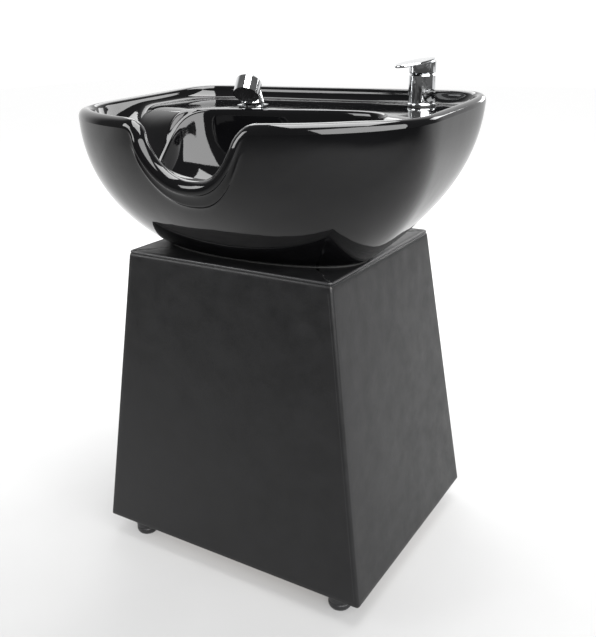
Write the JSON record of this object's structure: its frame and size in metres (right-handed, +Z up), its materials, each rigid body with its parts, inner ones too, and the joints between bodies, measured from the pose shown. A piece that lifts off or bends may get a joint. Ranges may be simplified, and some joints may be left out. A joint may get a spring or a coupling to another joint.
{
  "type": "salon backwash basin",
  "caption": "Tilt-free backwash shampoo basin with neck notch, lever mixer and pull-out spray on an upholstered tapered pedestal with rear access door",
  "frame": {"origin": "on the floor, under the middle of the bounding box", "axes": "+Z up; the neck notch and the sitter are towards -Y; +X is to the right seen from the sitter's side"},
  "size_m": [0.6526, 0.5157, 0.8887],
  "materials": {
    "black_glaze": "deep black glaze, high gloss",
    "black_leatherette": "fine-grained upholstery leatherette, slight sheen",
    "black_welt": "leatherette piping",
    "chrome": "polished chrome plating",
    "brass": "turned brass",
    "steel": "zinc-plated steel",
    "hose_metal": "spiral-wound shower hose",
    "black_rubber": "moulded rubber",
    "black_plastic": "moulded black plastic",
    "foot_plastic": "glossy black plastic glides",
    "white_plastic": "white waste fittings",
    "plywood": "birch plywood, unfinished"
  },
  "bodies": {
    "base": {"basin_bowl": "black_glaze", "basin_seal": "black_rubber", "locating_ring": "plywood", "drain_gasket": "black_rubber", "drain_body": "chrome", "drain_nut": "white_plastic", "tail_nut": "white_plastic", "tailpiece": "white_plastic", "trap_nut_in": "white_plastic", "trap_nut_out": "white_plastic", "trap_bend": "white_plastic", "waste_pipe": "white_plastic", "mixer_gasket": "black_rubber", "mixer_base_ring": "chrome", "mixer_body": "chrome", "mixer_cartridge": "white_plastic", "cartridge_nut": "brass", "mixer_shank": "brass", "mixer_locknut": "brass", "mixer_outlet": "brass", "hot_inlet": "brass", "cold_inlet": "brass", "holder_gasket": "black_rubber", "spray_holder": "chrome", "holder_nut": "brass", "spray_hose": "hose_metal", "base_frame": "plywood", "corner_posts": "plywood", "panel_front": "plywood", "panel_back": "plywood", "panel_left": "plywood", "panel_right": "plywood", "top_board": "plywood", "cover_front": "black_leatherette", "cover_back": "black_leatherette", "cover_left": "black_leatherette", "cover_right": "black_leatherette", "cover_top": "black_leatherette", "top_welt": "black_welt", "foot_front_left": "foot_plastic", "foot_front_right": "foot_plastic", "foot_back_left": "foot_plastic", "foot_back_right": "foot_plastic", "foot_studs": "steel", "hinge_frame_leaves": "steel", "door_catch": "black_plastic"},
    "strainer": {"drain_strainer": "chrome"},
    "turret": {"mixer_turret": "white_plastic", "lift_pin": "steel"},
    "lever": {"mixer_stem": "steel", "mixer_lever": "chrome"},
    "guide": {"spray_guide": "black_plastic"},
    "spray": {"spray_shell": "chrome", "spray_face": "black_plastic", "hose_nut": "chrome"},
    "door": {"access_door": "plywood", "door_cover": "black_leatherette", "hinge_door_leaves": "steel", "door_knob": "chrome"}
  },
  "joints": [
    {"name": "strainer_lift", "type": "slide", "parent": "base", "child": "strainer", "axis": [0, 0, 1], "range_m": [0, 0.08]},
    {"name": "mixer_swing", "type": "hinge", "parent": "base", "child": "turret", "pos_m": [0.201, 0.16669, 0.85572], "axis": [0, 0, 1], "range_deg": [-45, 45]},
    {"name": "mixer_lift", "type": "hinge", "parent": "turret", "child": "lever", "pos_m": [0.201, 0.16669, 0.85572], "axis": [-0.9397, 0.342, 0], "range_deg": [0, 20]},
    {"name": "spray_turn", "type": "hinge", "parent": "base", "child": "guide", "pos_m": [-0.091, 0.07769, 0.81044], "axis": [0, 0, 1], "range_deg": [-60, 60]},
    {"name": "spray_pull", "type": "slide", "parent": "guide", "child": "spray", "axis": [0, 0, 1], "range_m": [0, 0.12], "deforming": ["spray_hose"]},
    {"name": "access_door", "type": "hinge", "parent": "base", "child": "door", "pos_m": [-0.121, 0.23902, 0.31029], "axis": [0, -0.0834, 0.9965], "range_deg": [0, 110]}
  ]
}
